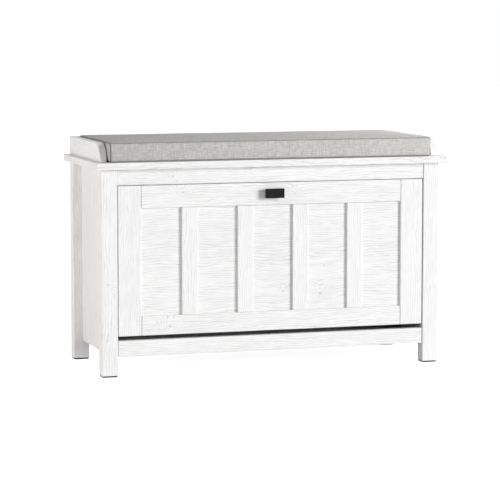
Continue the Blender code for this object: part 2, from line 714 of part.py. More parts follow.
def slot_outline(half_width):
    """The band that the stop pin runs in, with round ends, about the pivot."""
    first, last = STOP_ANGLE - OPEN_ANGLE, STOP_ANGLE

    def arc(radius, start, end, steps, centre=(0, 0)):
        """Points along an arc, both ends included."""
        angles = [start + (end - start) * step / steps for step in range(steps + 1)]
        return [(centre[0] + radius * math.cos(a), centre[1] + radius * math.sin(a)) for a in angles]

    def cap(angle, start):
        """The round end at an angle of the slot, without its first and last point."""
        centre = (STOP_DISTANCE * math.cos(angle), STOP_DISTANCE * math.sin(angle))
        return arc(half_width, start, start + math.pi, SLOT_CAP_STEPS, centre)[1:-1]

    outer = arc(STOP_DISTANCE + half_width, first, last, SLOT_STEPS)
    inner = arc(STOP_DISTANCE - half_width, last, first, SLOT_STEPS)
    return outer + cap(last, last) + inner + cap(first, first + math.pi)


def open_bracket(bracket, side):
    """Cut the shelf channels and the pockets above them, open towards the drawer."""
    name = bracket.name
    low_x, high_x = mirrored(side, BRACKET_INNER_X - CUTTER_EXTRA, WEB_INNER_X)

    def cut(label, low_z, high_z):
        """Cut a straight pocket between two heights."""
        low = PIVOT + Vector((low_x, POCKET_FRONT, low_z))
        high = PIVOT + Vector((high_x, POCKET_BACK, high_z))
        combine(bracket, box_cutter(f"{name}_{label}", low, high))

    lows = [shelf_low - FIT for shelf_low in SHELF_LOWS.values()]
    tops = [shelf_low + SHELF + FIT for shelf_low in SHELF_LOWS.values()]
    for level, low_z, high_z in zip(SHELF_LOWS, lows, tops):
        cut(f"{level}_channel", low_z, high_z)
    cut("pocket", tops[0] + BRACKET_RIM, lows[1] - BRACKET_RIM)
    radius, top = BRACKET_RADIUS - BRACKET_RIM, BRACKET_TOP - BRACKET_RIM
    outline = fan_outline(POCKET_FRONT, POCKET_BACK, tops[1] + BRACKET_RIM, top, radius)
    combine(bracket, add_cutter(f"{name}_fan", prism(f"{name}_fan", outline, low_x, high_x), PIVOT))


def add_flange(bracket, side):
    """Join the flange that lies on the door's back."""
    low_x, high_x = mirrored(side, BRACKET_INNER_X - FLANGE_REACH, BRACKET_OUTER_X - FLANGE_END)
    low = PIVOT + Vector((low_x, FLANGE_FRONT, BRACKET_LOW + FLANGE_END))
    high = PIVOT + Vector((high_x, FLANGE_BACK, BRACKET_TOP - FLANGE_END))
    combine(bracket, box_cutter(f"{bracket.name}_flange", low, high), "UNION")


def add_hub_and_slot(bracket, side):
    """Join the hub and the slot's boss to the web, then bore both through."""
    name = bracket.name
    outward = Vector((side, 0, 0))
    root_x = WEB_INNER_X + BRACKET_WEB / 2
    hub_x = BRACKET_INNER_X - HUB_PROUD
    start = PIVOT + outward * hub_x
    bm = bmesh.new()
    cylinder(bm, start, outward, root_x - hub_x, PIVOT_HUB_RADIUS, ROUND_STEPS)
    combine(bracket, add_cutter(f"{name}_hub", mesh_from(bm, "hub")), "UNION")
    boss_span = mirrored(side, WEB_INNER_X - SLOT_BOSS, root_x)
    boss = prism(f"{name}_boss", slot_outline(STOP_RADIUS + FIT + SLOT_WALL), *boss_span)
    combine(bracket, add_cutter(f"{name}_boss", boss, PIVOT), "UNION")
    slot_span = mirrored(side, hub_x, BRACKET_OUTER_X + CUTTER_EXTRA)
    slot = prism(f"{name}_slot", slot_outline(STOP_RADIUS + FIT), *slot_span)
    combine(bracket, add_cutter(f"{name}_slot", slot, PIVOT))
    through = BRACKET_OUTER_X - hub_x + CUTTER_EXTRA
    drill(name, start, outward, PIVOT_RADIUS + FIT, through, ROUND_STEPS)


def make_brackets():
    """Moulded quarter brackets: a web with a rim, shelf channels, a flange, a hub and a stop slot."""
    pieces = []
    outline = fan_outline(BRACKET_FRONT, BRACKET_BACK, BRACKET_LOW, BRACKET_TOP, BRACKET_RADIUS)
    for side, word in SIDES:
        name = f"drawer_bracket_{word}"
        block = prism(name, outline, *mirrored(side, BRACKET_INNER_X, BRACKET_OUTER_X))
        bracket = add_part(name, block, BLACK_PLASTIC, PIVOT, rounded=True)
        open_bracket(bracket, side)
        add_flange(bracket, side)
        add_hub_and_slot(bracket, side)
        pieces.append(bracket)
    return pieces


def make_shelves():
    """Two shelves held in the brackets' channels."""
    pieces = []
    reach = WEB_INNER_X - FIT
    for level, low_z in SHELF_LOWS.items():
        low = PIVOT + Vector((-reach, POCKET_FRONT + FIT, low_z))
        high = PIVOT + Vector((reach, POCKET_BACK - FIT, low_z + SHELF))
        pieces.append(board(f"{level}_shelf", low, high, WHITE_BOARD))
    return pieces


def make_bracket_screws():
    """Pan-head screws through the flanges into the door."""
    pieces = []
    length = BRACKET_RIM + FIT + SCREW_BITE
    mesh = turned(pin_profile(SCREW_RADIUS, length, SCREW_HEAD_RADIUS, SCREW_HEAD), SMALL_STEPS)
    for side, word in SIDES:
        for index in range(FLANGE_SCREW_COUNT):
            rise = FLANGE_SCREW_RISE + index * FLANGE_SCREW_STEP
            mouth = PIVOT + Vector((side * FLANGE_SCREW_X, FLANGE_BACK, rise))
            bore = SCREW_RADIUS + FIT
            drill(f"drawer_bracket_{word}", mouth, (0, -1, 0), bore, BRACKET_RIM + CUTTER_EXTRA)
            drill("door_panel", mouth, (0, -1, 0), bore, length + FIT)
            head = mouth + Vector((0, FIT, 0))
            name = f"bracket_screw_{word}_{index + 1}"
            pieces.append(place_turned(name, mesh, ZINC, head, (0, -1, 0)))
    return pieces


def make_pivot_plates():
    """Steel plates on the case's walls, which hold the drawer's pins."""
    for side, word in SIDES:
        low = Vector((0, -PLATE_MARGIN, -PLATE_MARGIN))
        high = Vector((0, STOP_PLACE[0] + PLATE_TAIL, STOP_PLACE[1] + PLATE_MARGIN))
        low.x, high.x = mirrored(side, PLATE_INNER_X, PLATE_INNER_X + PLATE)
        bm = box_bmesh(high - low)
        corners = [edge for edge in bm.edges if edge.verts[0].co.yz == edge.verts[1].co.yz]
        round_edges(bm, corners, PLATE_CORNER, PLATE_CORNER_STEPS)
        name = f"pivot_plate_{word}"
        add_part(name, mesh_from(bm, name), ZINC, PIVOT + (low + high) / 2)


def make_pins():
    """A pin that each bracket turns on and a pin that stops it, through the plates."""
    shank = BRACKET_WIDTH + HUB_PROUD + BRACKET_RUN_GAP + PLATE + FIT + PIN_BITE
    pivot_mesh = turned(pin_profile(PIVOT_RADIUS, shank))
    pivot_start = BRACKET_INNER_X - HUB_PROUD
    stop_start = WEB_INNER_X - SLOT_BOSS - FIT
    stop_shank = LEG_INNER_X + PIN_BITE - stop_start
    stop_mesh = turned(pin_profile(STOP_RADIUS, stop_shank, STOP_HEAD_RADIUS, PIN_HEAD))
    stop = PIVOT + Vector((0, *STOP_PLACE))
    kinds = (
        ("pivot", "leg_front", PIVOT, PIVOT_RADIUS, pivot_mesh, pivot_start),
        ("stop", "side_panel", stop, STOP_RADIUS, stop_mesh, stop_start),
    )
    for side, word in SIDES:
        outward = Vector((side, 0, 0))
        for kind, wall, centre, radius, mesh, start_x in kinds:
            place_turned(f"{kind}_pin_{word}", mesh, ZINC, centre + outward * start_x, outward)
            bore = radius + FIT
            face = centre + outward * PLATE_INNER_X
            drill(f"pivot_plate_{word}", face, outward, bore, PLATE + CUTTER_EXTRA, ROUND_STEPS)
            mouth = centre + outward * LEG_INNER_X
            drill(f"{wall}_{word}", mouth, outward, bore, PIN_BITE + FIT, ROUND_STEPS)


def make_plate_screws():
    """Screws that hold the plates to the side panels."""
    profile = pin_profile(SCREW_RADIUS, SCREW_BITE, SCREW_HEAD_RADIUS, PLATE_SCREW_HEAD)
    screw = turned(profile, SMALL_STEPS)
    head_bore = SCREW_HEAD_RADIUS + FIT
    for side, word in SIDES:
        outward = Vector((side, 0, 0))
        for index in range(PLATE_SCREW_COUNT):
            rise = PLATE_SCREW_RISE + index * PLATE_SCREW_STEP
            centre = PIVOT + Vector((0, PLATE_SCREW_Y, rise))
            face = centre + outward * PLATE_INNER_X
            drill(f"pivot_plate_{word}", face, outward, head_bore, PLATE + CUTTER_EXTRA, SMALL_STEPS)
            mouth = centre + outward * LEG_INNER_X
            drill(f"side_panel_{word}", mouth, outward, SCREW_RADIUS + FIT, SCREW_BITE + FIT)
            name = f"pivot_plate_screw_{word}_{index + 1}"
            place_turned(name, screw, ZINC, mouth - outward * FIT, outward)


def make_cam_locks():
    """Cam locks: a disc in the side panel's inner face grips a bolt that holds the seat board."""
    profile = [
        (0, BOLT_THREAD),
        (BOLT_THREAD_RADIUS, BOLT_THREAD),
        (BOLT_THREAD_RADIUS, 0),
        (BOLT_RADIUS, 0),
        (BOLT_RADIUS, CAM_RADIUS - CAM_SETBACK - BOLT_ROOT),
        (0, CAM_RADIUS - CAM_SETBACK - BOLT_ROOT),
    ]
    bolt_mesh = turned(profile, SMALL_STEPS)
    ends = (("front", SIDE_PANEL_FRONT_Y + CAM_INSET), ("back", SIDE_PANEL_BACK_Y - CAM_INSET))
    for side, word in SIDES:
        panel = f"side_panel_{word}"
        outward = Vector((side, 0, 0))
        for end, y in ends:
            name = f"cam_lock_{end}_{word}"
            face = Vector((side * LEG_INNER_X, y, CASE_HEIGHT - CAM_SETBACK))
            joint = Vector((side * (LEG_INNER_X + FIT + CAM_THICKNESS / 2), y, CASE_HEIGHT))
            bm = bmesh.new()
            cylinder(bm, outward * FIT, outward, CAM_THICKNESS, CAM_RADIUS, CAM_SIDES)
            add_part(name, mesh_from(bm, name), ZINC, face, rounded=True)
            bolt = add_cutter(f"{name}_bolt", bolt_mesh, joint)
            combine(bpy.data.objects[name], bolt, "UNION")
            drill(name, face, outward, CAM_KEY_RADIUS, CAM_KEY_DEPTH, CAM_KEY_SIDES)
            depth = CAM_THICKNESS + 2 * FIT
            drill(panel, face, outward, CAM_RADIUS + FIT, depth, CAM_SIDES, "pockets")
            down, up = Vector((0, 0, -1)), Vector((0, 0, 1))
            drill(panel, joint, down, BOLT_RADIUS + BOLT_HOLE_PLAY, CAM_SETBACK, SMALL_STEPS)
            bore = BOLT_THREAD_RADIUS + FIT
            drill("seat_board", joint, up, bore, BOLT_THREAD + FIT, SMALL_STEPS)


def make_bench():
    """Build every piece of the bench and hang the drawer on its pivot."""
    make_seat_board()
    make_legs()
    make_side_panels()
    make_rails()
    make_back_panel()
    make_bottom_panel()
    make_guard_rails()
    make_cushion()
    make_pivot_plates()
    make_pins()
    make_plate_screws()
    make_cam_locks()
    drawer = make_door() + make_knob() + make_brackets() + make_shelves() + make_bracket_screws()
    glue_dowels()
    cut_bores()
    pivot = bpy.data.objects.new("flip_drawer_pivot", None)
    pivot.location = PIVOT
    PARTS.objects.link(pivot)
    for piece in drawer:
        hang_on_pivot(piece, pivot)


make_bench()
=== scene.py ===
"""Looks of the entry bench: painted wood grain, a linen cushion, a black knob, light and camera.

Everything is in metres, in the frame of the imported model: the bench stands on the floor at
Z = 0 with its front towards -Y.
"""
import math

import bpy
import numpy as np
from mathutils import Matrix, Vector, noise


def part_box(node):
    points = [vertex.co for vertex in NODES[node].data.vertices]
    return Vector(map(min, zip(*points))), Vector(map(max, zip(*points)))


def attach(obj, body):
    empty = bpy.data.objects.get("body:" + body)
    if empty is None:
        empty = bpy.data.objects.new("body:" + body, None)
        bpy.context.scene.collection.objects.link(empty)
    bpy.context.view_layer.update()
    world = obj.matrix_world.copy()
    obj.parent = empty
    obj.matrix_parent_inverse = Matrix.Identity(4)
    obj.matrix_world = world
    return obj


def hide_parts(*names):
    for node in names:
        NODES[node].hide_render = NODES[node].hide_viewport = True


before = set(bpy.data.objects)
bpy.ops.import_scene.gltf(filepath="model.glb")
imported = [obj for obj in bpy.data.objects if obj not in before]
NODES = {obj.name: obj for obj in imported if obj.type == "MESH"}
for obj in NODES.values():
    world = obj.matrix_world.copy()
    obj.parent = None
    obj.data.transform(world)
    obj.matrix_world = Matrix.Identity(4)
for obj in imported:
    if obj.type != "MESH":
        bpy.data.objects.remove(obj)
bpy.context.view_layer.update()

MM = 0.001

# Camera, at the photograph's viewing angle
CAMERA_LENS = 166.05
CAMERA_SENSOR = 36.0
CAMERA_PLACE = (-1.5322, -4.9169, 0.8082)
CAMERA_YAW = math.radians(17.2)
CAMERA_PITCH = math.radians(6.183)

# Lamps: where each stands as seen from the bench, its size, power and colour
LAMP_TARGET = Vector((0, 0, 0.3))
LAMPS = {
    "key": dict(turn=43, rise=10, distance=12.0, size=(4.4, 4.4), power=1150, color=(1, 1, 1)),
    "rim": dict(turn=101, rise=52, distance=0.83, size=(0.3, 0.3), power=1.2, color=(1, 1, 1)),
    "left": dict(turn=-85, rise=3, distance=1.43, size=(0.24, 0.8), power=4.6, color=(1, 0.94, 0.90)),
    "fill": dict(turn=-62, rise=12, distance=3.0, size=(1.2, 1.2), power=7.5, color=(1, 0.96, 0.93)),
}
WORLD_FILL = 0.35
FLOOR_SIZE = 30.0
FLOOR_DROP = 0.2 * MM
FLOOR_GLOW = 0.8
FLOOR_ROUGHNESS = 0.9
FLOOR_WHITE = 0.8

# Wood grain: each layer's lumps have a length along the grain and a breadth across it
GRAIN_PITCH = 5.2 * MM
WANDER = (240 * MM, 60 * MM)
WANDER_LINES = 6.5
WAVE = (38 * MM, 12 * MM)
WAVE_LINES = 1.7
PATCH = (45 * MM, 12 * MM)
FIBRE = (22 * MM, 2.1 * MM)
STREAK = (70 * MM, 6 * MM)
CLOUD = (300 * MM, 100 * MM)
LINE_TONE = 0.50
FIBRE_TONE = 0.55
STREAK_TONE = 0.38
CLOUD_TONE = 0.25
TONE_OFFSET = 0.47
GRAIN_TILT = 0.6
LINE_EDGES = (0.0, 0.2)
PATCH_EDGES = (0.26, 0.56)
GRAIN_DEPTH = 0.12 * MM
GRAIN_BUMP = 0.5
LINE_HEIGHT = 0.5
WOOD_ROUGHNESS = 0.55
WOOD_SPECULAR = 0.4

# Knots: how far the lines bend round them, the size of the dark heart, and their squash
KNOT_TONE = 0.75
KNOT_LINES = 5.0
KNOT_REACH = 2.2
KNOT_HEART = 0.28
KNOT_SQUASH = 1.1

# Plain surfaces: how far tone and roughness stray in the clouds, and the clouds' size
TONE_STRAY = 0.25
ROUGHNESS_STRAY = 0.08
PLAIN_CLOUD = 30 * MM

# Linen weave
YARN_PITCH = 1.25 * MM
YARN_BEND = 0.9 * MM
BEND_LUMP = (18 * MM, 6 * MM)
SLUB_LUMP = (18 * MM, 2.3 * MM)
LINEN_CLOUD = 33 * MM
FACING_LIMIT = 0.6
SLUB_TONE = 2.0
SLUB_OFFSET = 1.70
WEAVE_TONE = 0.10
LINEN_CLOUD_TONE = 0.30
WEAVE_DEPTH = 0.35 * MM
WEAVE_HEIGHT = 0.25
WEAVE_BUMP = 0.7
LINEN_ROUGHNESS = 0.95
LINEN_SPECULAR = 0.2
LINEN_SHEEN = 0.15
LINEN_SHEEN_ROUGHNESS = 0.5
# Painted light: the cloth's colour gets lighter towards its right end by this much tone per metre, as
# if more light fell there
LINEN_PAINTED_LIGHT_DRIFT = 0.75
LINEN_DARK = (0.449, 0.443, 0.424, 1)
LINEN_LIGHT = (0.662, 0.653, 0.627, 1)
# Painted shade: the colour laid on the cloth along its seams and bottom edge, where shade falls in the
# creases
SEAM_PAINTED_SHADE_COLOR = (0.06, 0.058, 0.054, 1)

# Seat cushion
CUSHION_SEAM = 43 * MM
CUSHION_CROWN = 6.6 * MM
CUSHION_BULGE = 1.3 * MM
CUSHION_DRAW_IN = 2.5 * MM
CUSHION_CORNER = 3.5 * MM
CUSHION_EDGE = 4.6 * MM
CUSHION_FOOT_EDGE = 2.2 * MM
CUSHION_ROWS = tuple(row * MM for row in (0, 1.2, 2.6, 4.6, 7.4, 11))
CUSHION_STEP = 6 * MM
CUSHION_WALL_INSET = 0.3 * MM
CUSHION_FOOT_INSET = 1.2 * MM
CUSHION_LEFT_REACH = 1.7 * MM
CUSHION_RIGHT_PLAY = 3.5 * MM
SEAM_DEPTH = 2.2 * MM
SEAM_WIDTH = 2.0 * MM
SEAM_SHADE = 0.9
PUCKER_HEIGHT = 0.35 * MM
PUCKER_REACH = 9 * MM
PUCKER_PITCH = 11 * MM
CLOTH_FRAMES = 20
CLOTH_PRESSURE = 4.0
CLOTH_QUALITY = 6
CLOTH_MASS = 0.25
CLOTH_STRETCH = 12
CLOTH_SHEAR = 5
CLOTH_BEND = 0.6
TOUCH = 0.1 * MM


class Graph:
    """A node tree. Each call adds a node and returns the output that is wanted."""

    def __init__(self, tree):
        self.tree = tree

    def feed(self, socket, value):
        """Link an output to a socket, or set the socket's own value."""
        if isinstance(value, bpy.types.NodeSocket):
            self.tree.links.new(value, socket)
        else:
            socket.default_value = value

    def node(self, kind, inputs=(), **settings):
        """A node of one kind with its settings and inputs."""
        node = self.tree.nodes.new("ShaderNode" + kind)
        for key, value in settings.items():
            setattr(node, key, value)
        for key, value in dict(inputs).items():
            self.feed(node.inputs[key], value)
        return node

    def math(self, operation, *values):
        """A sum, product or other function of numbers."""
        return self.node("Math", dict(enumerate(values)), operation=operation).outputs[0]

    def vector(self, operation, *values):
        """A sum, product or other function of vectors."""
        return self.node("VectorMath", dict(enumerate(values)), operation=operation).outputs[0]

    def split(self, vector):
        """The X, Y and Z of a vector."""
        return tuple(self.node("SeparateXYZ", {0: vector}).outputs)

    def join(self, *parts):
        """A vector of its X, Y and Z."""
        return self.node("CombineXYZ", dict(enumerate(parts))).outputs[0]

    def noise(self, vector, detail=2.0):
        """Smooth noise from 0 to 1 with one lump for each unit of the vector."""
        return self.node("TexNoise", {"Vector": vector, "Scale": 1.0, "Detail": detail}).outputs[0]

    def step(self, value, low, high):
        """A smooth step from 0 at low to 1 at high."""
        inputs = {"Value": value, "From Min": low, "From Max": high}
        return self.node("MapRange", inputs, interpolation_type="SMOOTHSTEP").outputs[0]

    def ramp(self, value, low, high):
        """A number that goes from low to high while the value goes from 0 to 1."""
        return self.node("MapRange", {"Value": value, "To Min": low, "To Max": high}).outputs[0]

    def mix(self, factor, first, second):
        """A colour between two colours."""
        mix = self.node("Mix", {0: factor, 6: first, 7: second}, data_type="RGBA")
        return mix.outputs[2]

    def background_rays(self):
        """1 for rays from the camera, from a gloss or through glass, and 0 for the rest."""
        path = self.node("LightPath").outputs
        seen = self.math("MAXIMUM", path["Is Camera Ray"], path["Is Glossy Ray"])
        return self.math("MAXIMUM", seen, path["Is Transmission Ray"])


class Surface(Graph):
    """A material with one shader."""

    def __init__(self, name, roughness, specular, metallic=0.0):
        self.material = bpy.data.materials.new(name)
        self.material.use_nodes = True
        super().__init__(self.material.node_tree)
        self.shader = self.tree.nodes["Principled BSDF"].inputs
        self.shader["Roughness"].default_value = roughness
        self.shader["Specular IOR Level"].default_value = specular
        self.shader["Metallic"].default_value = metallic

    def color(self, value):
        """Set the surface's colour."""
        self.feed(self.shader["Base Color"], value)

    def bump(self, height, distance, strength=1.0):
        """Raise the surface by a height from 0 to 1 times a distance."""
        inputs = {"Height": height, "Distance": distance, "Strength": strength}
        self.feed(self.shader["Normal"], self.node("Bump", inputs).outputs[0])


def grey(level, warmth=0.0):
    """A nearly neutral colour, a little warmer where warmth is above 0."""
    return (level * (1 + warmth), level, level * (1 - warmth), 1)


def wood(name, grain, across, seed, light, dark, figure=1.0, knots=()):
    """Painted wood: growth lines, fibres and pores that run along one axis of the bench."""
    surface = Surface(name, WOOD_ROUGHNESS, WOOD_SPECULAR)
    place = surface.node("TexCoord").outputs["Object"]
    shift = Vector((seed * 0.731, seed * 0.417, seed * 0.593))
    axes = dict(zip("XYZ", surface.split(surface.vector("ADD", place, shift))))
    along, width = axes.pop(grain), axes.pop(across)
    (depth,) = axes.values()

    def lumps(length, breadth, detail=2.0):
        """Noise whose lumps have a length along the grain and a breadth across it."""
        parts = [surface.math("DIVIDE", along, length)]
        parts += [surface.math("DIVIDE", side, breadth) for side in (width, depth)]
        return surface.noise(surface.join(*parts), detail)

    def mound(center, size):
        """A round mound, a little shorter along the grain, about a point of the bench."""
        offset = surface.vector("SUBTRACT", place, Vector(center))
        squash = Vector([KNOT_SQUASH if axis == grain else 1.0 for axis in "XYZ"]) / size
        scaled = surface.vector("MULTIPLY", offset, squash)
        square = surface.node("VectorMath", {0: scaled, 1: scaled}, operation="DOT_PRODUCT")
        return surface.math("EXPONENT", surface.math("MULTIPLY", square.outputs["Value"], -1.0))

    tilt = surface.math("MULTIPLY_ADD", depth, GRAIN_TILT, width)
    field = surface.math("DIVIDE", tilt, GRAIN_PITCH)
    field = surface.math("MULTIPLY_ADD", lumps(*WANDER, 1.5), WANDER_LINES, field)
    field = surface.math("MULTIPLY_ADD", lumps(*WAVE), WAVE_LINES, field)
    heart = 0.0
    for center, size in knots:
        field = surface.math("MULTIPLY_ADD", mound(center, size * KNOT_REACH), KNOT_LINES, field)
        heart = surface.math("MAXIMUM", heart, mound(center, size * KNOT_HEART))
    ripple = surface.math("PINGPONG", field, 0.5)
    line = surface.math("SUBTRACT", 1.0, surface.step(ripple, *LINE_EDGES))
    line = surface.math("MULTIPLY", line, surface.step(lumps(*PATCH), *PATCH_EDGES))
    fibre = lumps(*FIBRE)
    tone = surface.math("MULTIPLY_ADD", line, LINE_TONE * figure, -TONE_OFFSET * figure)
    tone = surface.math("MULTIPLY_ADD", fibre, FIBRE_TONE * figure, tone)
    tone = surface.math("MULTIPLY_ADD", lumps(*STREAK), STREAK_TONE * figure, tone)
    tone = surface.math("MULTIPLY_ADD", lumps(*CLOUD, 1.0), CLOUD_TONE * figure, tone)
    tone = surface.math("MULTIPLY_ADD", heart, KNOT_TONE, tone)
    surface.color(surface.mix(tone, light, dark))
    height = surface.math("MULTIPLY_ADD", line, LINE_HEIGHT, fibre)
    surface.bump(surface.math("SUBTRACT", 1.0, height), GRAIN_DEPTH, GRAIN_BUMP)
    return surface.material


def moulded(name, level, roughness, grain, depth, specular, metallic):
    """Plastic, paint or plated steel: one colour with a fine even grain and faint clouds."""
    surface = Surface(name, roughness, specular, metallic)
    place = surface.node("TexCoord").outputs["Object"]

    def lumps(size, detail):
        """Noise with lumps of one size."""
        return surface.noise(surface.vector("MULTIPLY", place, Vector((1, 1, 1)) / size), detail)

    fine = lumps(grain, 3.0)
    cloud = lumps(PLAIN_CLOUD, 2.0)
    mixed = surface.math("MULTIPLY_ADD", cloud, 0.5, surface.math("MULTIPLY", fine, 0.5))
    surface.color(surface.mix(mixed, grey(level * (1 - TONE_STRAY)), grey(level * (1 + TONE_STRAY))))
    rough = surface.ramp(cloud, roughness - ROUGHNESS_STRAY, roughness + ROUGHNESS_STRAY)
    surface.feed(surface.shader["Roughness"], rough)
    surface.bump(fine, depth)
    return surface.material


def linen():
    """Plain-weave linen with uneven yarns, laid flat on each side of the cushion."""
    surface = Surface("linen_weave", LINEN_ROUGHNESS, LINEN_SPECULAR)
    surface.shader["Sheen Weight"].default_value = LINEN_SHEEN
    surface.shader["Sheen Roughness"].default_value = LINEN_SHEEN_ROUGHNESS
    coordinates = surface.node("TexCoord").outputs
    x, y, z = surface.split(coordinates["Object"])
    facing = surface.split(surface.vector("ABSOLUTE", coordinates["Normal"]))
    on_end = surface.math("GREATER_THAN", facing[0], FACING_LIMIT)
    on_top = surface.math("GREATER_THAN", facing[2], FACING_LIMIT)

    def pick(factor, first, second):
        """The first number where the factor is 0, the second where it is 1."""
        return surface.node("Mix", {0: factor, 2: first, 3: second}, data_type="FLOAT").outputs[0]

    def lumps(run, cross, size, seed):
        """Noise in lumps that are long along the yarns."""
        length, breadth = size
        parts = surface.math("DIVIDE", run, length), surface.math("DIVIDE", cross, breadth)
        return surface.noise(surface.join(*parts, seed))

    def yarns(cross, run, seed):
        """Yarns that run along one direction: their ridges, and how thick and pale each is."""
        bend = lumps(run, cross, BEND_LUMP, seed)
        bent = surface.math("MULTIPLY_ADD", bend, YARN_BEND, cross)
        ridge = surface.math("SINE", surface.math("MULTIPLY", bent, math.tau / YARN_PITCH))
        return ridge, lumps(run, cross, SLUB_LUMP, seed + 5.0)

    across = pick(on_end, x, y)
    up = pick(on_top, z, y)
    warp, warp_slub = yarns(across, up, 1.0)
    weft, weft_slub = yarns(up, across, 3.0)
    weave = surface.math("MULTIPLY", warp, weft)
    slubs = surface.math("ADD", warp_slub, weft_slub)
    wide = surface.vector("MULTIPLY", coordinates["Object"], Vector((1, 1, 1)) / LINEN_CLOUD)
    tone = surface.math("MULTIPLY_ADD", slubs, SLUB_TONE, -SLUB_OFFSET)
    tone = surface.math("MULTIPLY_ADD", weave, WEAVE_TONE, tone)
    tone = surface.math("MULTIPLY_ADD", surface.noise(wide), LINEN_CLOUD_TONE, tone)
    # Painted light: the colour is made lighter towards the cushion's right end
    tone = surface.math("MULTIPLY_ADD", x, LINEN_PAINTED_LIGHT_DRIFT, tone)
    # Painted shade: the seam mask darkens the cloth along its seams and bottom edge, where the creases
    # and the gap below are shaded
    seam_shade_mask = surface.node("Attribute", attribute_name="seam_shade_mask").outputs["Fac"]
    yarn = surface.mix(tone, LINEN_DARK, LINEN_LIGHT)
    surface.color(surface.mix(surface.math("MULTIPLY", seam_shade_mask, SEAM_SHADE), yarn, SEAM_PAINTED_SHADE_COLOR))
    height = surface.math("MULTIPLY_ADD", weave, WEAVE_HEIGHT, slubs)
    surface.bump(height, WEAVE_DEPTH, WEAVE_BUMP)
    return surface.material


def spread(length):
    """Places along a side: close rows near both ends, even steps between."""
    last = CUSHION_ROWS[-1]
    steps = round((length - 2 * last) / CUSHION_STEP)
    middle = [last + (length - 2 * last) * index / steps for index in range(1, steps)]
    return np.array([*CUSHION_ROWS, *middle, *(length - row for row in reversed(CUSHION_ROWS))])


def box_surface(counts):
    """Lattice points and quads on the surface of a box with that many cells each way."""
    faces, index = [], {}

    def corner(axis, end, a, b, i, j):
        """The number of a lattice point, which neighbouring quads share."""
        point = [0, 0, 0]
        point[axis], point[a], point[b] = end, i, j
        return index.setdefault(tuple(point), len(index))

    ring = ((0, 0), (1, 0), (1, 1), (0, 1))
    for axis in range(3):
        a, b = (axis + 1) % 3, (axis + 2) % 3
        for end in (0, counts[axis]):
            turns = ring if end else ring[::-1]
            for i in range(counts[a]):
                for j in range(counts[b]):
                    faces.append([corner(axis, end, a, b, i + u, j + v) for u, v in turns])
    return np.array(list(index)), faces


def round_pair(first, second, radius):
    """Move points near the corner of two inward distances onto a round corner."""
    a, b = radius - first, radius - second
    near = (a > 0) & (b > 0)
    scale = np.where(near, np.maximum(a, b) / np.maximum(np.hypot(a, b), 1e-9), 1.0)
    return np.where(near, radius - a * scale, first), np.where(near, radius - b * scale, second)


def make_cushion():
    """A box cushion: seams hold its edges, and its panels swell between them."""
    low, high = (np.array(corner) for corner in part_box("seat_cushion"))
    low[0] -= CUSHION_LEFT_REACH
    high[0] -= CUSHION_RIGHT_PLAY
    center = (low + high) / 2
    size = high - low - 2 * CUSHION_WALL_INSET
    size[2] = CUSHION_SEAM
    rows = [spread(length) for length in size]
    lattice, faces = box_surface([len(places) - 1 for places in rows])
    flat = np.stack([rows[axis][lattice[:, axis]] for axis in range(3)], 1)
    inward = np.minimum(flat, size - flat)
    side = np.where(flat > size / 2, 1.0, -1.0)
    seam_distance = np.sort(inward, 1)[:, 1]

    # Round corners seen from above, and round edges above and below
    inward[:, 0], inward[:, 1] = round_pair(inward[:, 0], inward[:, 1], CUSHION_CORNER)
    wall = np.minimum(inward[:, 0], inward[:, 1])
    edge = np.where(side[:, 2] > 0, CUSHION_EDGE, CUSHION_FOOT_EDGE)
    drawn, lifted = round_pair(wall, inward[:, 2], edge)
    pull = drawn - wall
    outermost = inward[:, 0] <= inward[:, 1]
    inward[:, 0] += np.where(outermost, pull, 0)
    inward[:, 1] += np.where(outermost, 0, pull)
    inward[:, 2] = lifted
    place = side * (size / 2 - inward)
    u, v, w = (place / (size / 2)).T
    foot = CUSHION_FOOT_INSET * (1 - w) / 2
    place[:, 0] -= u * (CUSHION_DRAW_IN * (1 - v ** 2) + foot)
    place[:, 1] -= v * (CUSHION_DRAW_IN * (1 - u ** 2) + foot)
    place += (center[0], center[1], low[2] + size[2] / 2)

    mesh = bpy.data.meshes.new("linen_cushion")
    mesh.from_pydata(place.tolist(), [], faces)
    cushion = bpy.data.objects.new("linen_cushion", mesh)
    bpy.context.scene.collection.objects.link(cushion)
    on_seam = seam_distance < TOUCH
    bottom = lattice[:, 2] == 0
    moved = swell(cushion, place, on_seam | bottom)
    mesh.vertices.foreach_set("co", moved.ravel())
    mesh.update()
    normals = np.zeros(moved.size)
    mesh.vertices.foreach_get("normal", normals)

    # Seams sink in, and the cloth puckers beside them
    depth = SEAM_DEPTH * np.exp(-((seam_distance / SEAM_WIDTH) ** 2))
    pucker = np.array([noise.noise(Vector(point) / PUCKER_PITCH) for point in place])
    rise = PUCKER_HEIGHT * pucker * np.exp(-seam_distance / PUCKER_REACH)
    rise[on_seam | bottom] = 0
    moved += normals.reshape(-1, 3) * (rise - depth)[:, None]
    moved[:, 2] = np.maximum(moved[:, 2], low[2])
    mesh.vertices.foreach_set("co", moved.ravel())
    # The seam mask, kept on the points, paints shade along the seams and the bottom edge
    mesh.attributes.new("seam_shade_mask", "FLOAT", "POINT").data.foreach_set("value", depth / SEAM_DEPTH)
    mesh.shade_smooth()
    smooth = cushion.modifiers.new("smooth", "SUBSURF")
    smooth.levels = smooth.render_levels = 1
    apply_modifiers(cushion)
    cushion.data.materials.append(linen())
    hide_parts("seat_cushion")
    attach(cushion, "case")


